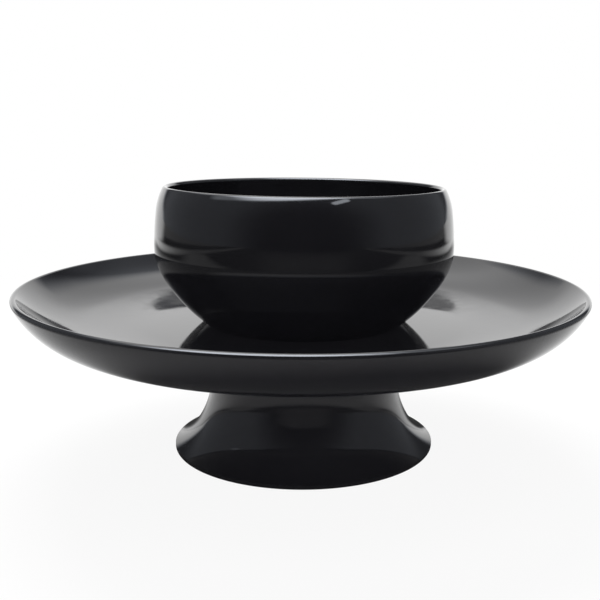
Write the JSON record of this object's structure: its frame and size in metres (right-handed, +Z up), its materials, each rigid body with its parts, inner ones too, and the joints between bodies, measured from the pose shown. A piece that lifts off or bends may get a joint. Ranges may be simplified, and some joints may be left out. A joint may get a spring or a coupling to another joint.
{
  "type": "tenmoku stand",
  "caption": "Footed round lacquer stand: a bellied open cup on a dished tray over a flared foot, which holds a conical tea bowl by the lip of the cup.",
  "frame": {"origin": "centre of the foot's standing face, on the common axis of the turned pieces", "axes": "+Z up along the common axis of foot, tray and cup; the stand is the same all round, so +X and +Y are free"},
  "size_m": [0.165, 0.165, 0.0777],
  "materials": {
    "black_lacquer": "turned wood under polished black lacquer"
  },
  "bodies": {
    "root": {"foot": "black_lacquer", "tray": "black_lacquer", "cup": "black_lacquer"}
  },
  "joints": []
}
